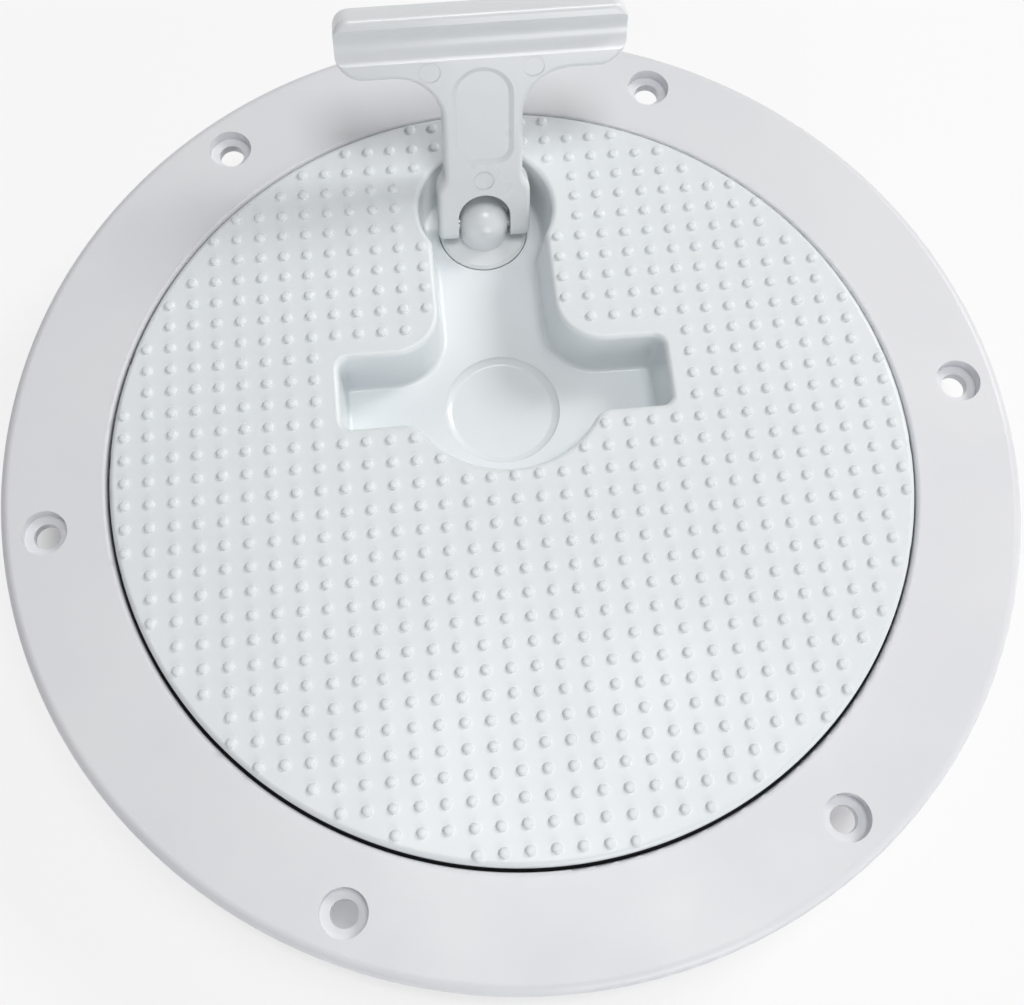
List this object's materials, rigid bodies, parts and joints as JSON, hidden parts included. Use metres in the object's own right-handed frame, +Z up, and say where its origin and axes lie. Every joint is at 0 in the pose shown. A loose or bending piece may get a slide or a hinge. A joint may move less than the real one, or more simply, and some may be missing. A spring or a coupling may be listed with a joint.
{
  "type": "deck inspection plate",
  "caption": "Round deck hatch: flat screwed ring, lid with a recessed T handle that folds into a pocket, and a turning latch tongue.",
  "frame": {"origin": "on the ring's axis at the deck plane, the underside of the flange", "axes": "+Z up out of the deck, +Y toward the end of the pocket where the handle stands, +X to the right"},
  "size_m": [0.271, 0.271, 0.0844],
  "materials": {
    "ring_plastic": "smooth white moulding with a soft sheen",
    "lid_plastic": "slightly bluish white, fine satin",
    "handle_plastic": "white moulding, satin",
    "seal_rubber": "black rubber",
    "steel": "stainless steel"
  },
  "bodies": {
    "frame": {"deck_ring": "ring_plastic"},
    "lid": {"lid": "lid_plastic", "lid_seal": "seal_rubber"},
    "spindle": {"spindle": "handle_plastic", "spindle_seal": "seal_rubber", "latch_tongue": "steel", "latch_washer": "steel", "latch_screw": "steel", "hinge_pin": "steel"},
    "handle": {"handle": "handle_plastic"}
  },
  "joints": [
    {"name": "lid_lift", "type": "slide", "parent": "frame", "child": "lid", "axis": [0, 0, 1], "range_m": [0, 0.15]},
    {"name": "spindle_turn", "type": "hinge", "parent": "lid", "child": "spindle", "pos_m": [0, 0.0774, 0], "axis": [0, 0, 1], "range_deg": [0, 360]},
    {"name": "handle_fold", "type": "hinge", "parent": "spindle", "child": "handle", "pos_m": [0, 0.0774, -0.0034], "axis": [1, 0, 0], "range_deg": [0, 116]}
  ]
}
